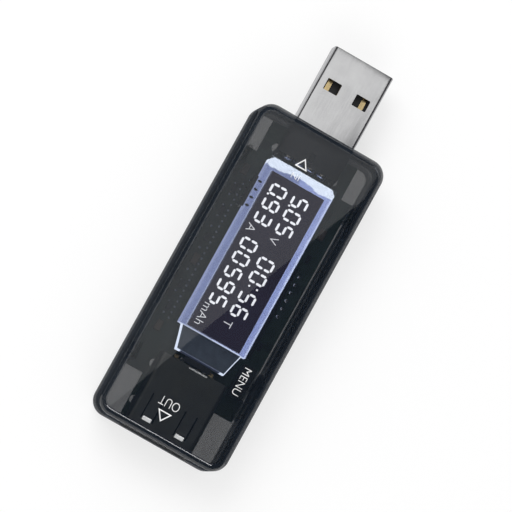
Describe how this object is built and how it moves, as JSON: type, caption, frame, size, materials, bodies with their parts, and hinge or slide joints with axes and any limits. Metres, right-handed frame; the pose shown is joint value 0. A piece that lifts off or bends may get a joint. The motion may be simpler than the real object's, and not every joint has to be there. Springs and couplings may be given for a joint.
{
  "type": "usb power meter",
  "caption": "Slim in-line USB power meter: smoked see-through case with a plug at one end, a socket at the other, a backlit display and a side push button.",
  "frame": {"origin": "centre of the whole outline, plug included, on the face that the meter rests on", "axes": "+X along the stick towards the plug's tip, +Z out of the display, -Y towards the side with the menu button"},
  "size_m": [0.0776, 0.0256, 0.0124],
  "materials": {
    "smoked_plastic": "glossy moulded, smoke-tinted and see-through",
    "button_plastic": "fine satin, moulded black",
    "board_laminate": "solder mask over glass laminate",
    "plated_steel": "nickel plated, satin",
    "gold_contact": "gilt, smooth",
    "black_insulator": "moulded, satin",
    "display_glass": "polished",
    "polariser_film": "dark film, smooth",
    "light_guide": "clear moulded, lit bluish white",
    "white_film": "white film",
    "lamp_housing": "white moulded with yellow phosphor",
    "tinned_metal": "tinned",
    "foam": "closed cell foam",
    "chip_resin": "moulded resin, matt",
    "ceramic_tan": "ceramic, matt",
    "tantalum_yellow": "moulded, matt"
  },
  "bodies": {
    "case": {"backlight_lamp": "lamp_housing", "backlight_lead_1": "tinned_metal", "backlight_lead_2": "tinned_metal", "bottom_shell": "smoked_plastic", "capacitor_1": "ceramic_tan", "capacitor_2": "ceramic_tan", "capacitor_3": "ceramic_tan", "capacitor_4": "ceramic_tan", "circuit_board": "board_laminate", "current_shunt": "chip_resin", "display_front_glass": "display_glass", "display_front_polariser": "polariser_film", "display_ledge_glass": "display_glass", "display_pins_common": "tinned_metal", "display_pins_segment": "tinned_metal", "display_rear_polariser": "polariser_film", "foam_pad_plug_side": "foam", "foam_pad_socket_side": "foam", "light_guide": "light_guide", "memory_chip": "chip_resin", "microcontroller": "chip_resin", "neck_mask": "polariser_film", "protection_diode": "chip_resin", "reflector_film": "white_film", "resistor_1": "chip_resin", "resistor_2": "chip_resin", "resistor_3": "chip_resin", "resistor_4": "chip_resin", "resistor_5": "chip_resin", "resistor_6": "chip_resin", "resistor_7": "chip_resin", "supply_capacitor": "tantalum_yellow", "switch_body": "black_insulator", "switch_cover": "plated_steel", "switch_dome": "plated_steel", "top_shell": "smoked_plastic", "usb_plug_contact_1": "gold_contact", "usb_plug_contact_2": "gold_contact", "usb_plug_contact_3": "gold_contact", "usb_plug_contact_4": "gold_contact", "usb_plug_insulator": "black_insulator", "usb_plug_shell": "plated_steel", "usb_socket_contact_1": "gold_contact", "usb_socket_contact_2": "gold_contact", "usb_socket_contact_3": "gold_contact", "usb_socket_contact_4": "gold_contact", "usb_socket_insulator": "black_insulator", "usb_socket_shell": "plated_steel", "voltage_regulator": "chip_resin"},
    "button": {"menu_button": "button_plastic", "switch_plunger": "button_plastic"}
  },
  "joints": [
    {"name": "menu_button_press", "type": "slide", "parent": "case", "child": "button", "axis": [0, 1, 0], "range_m": [0, 0.00025], "stiffness_N_per_m": 600}
  ]
}
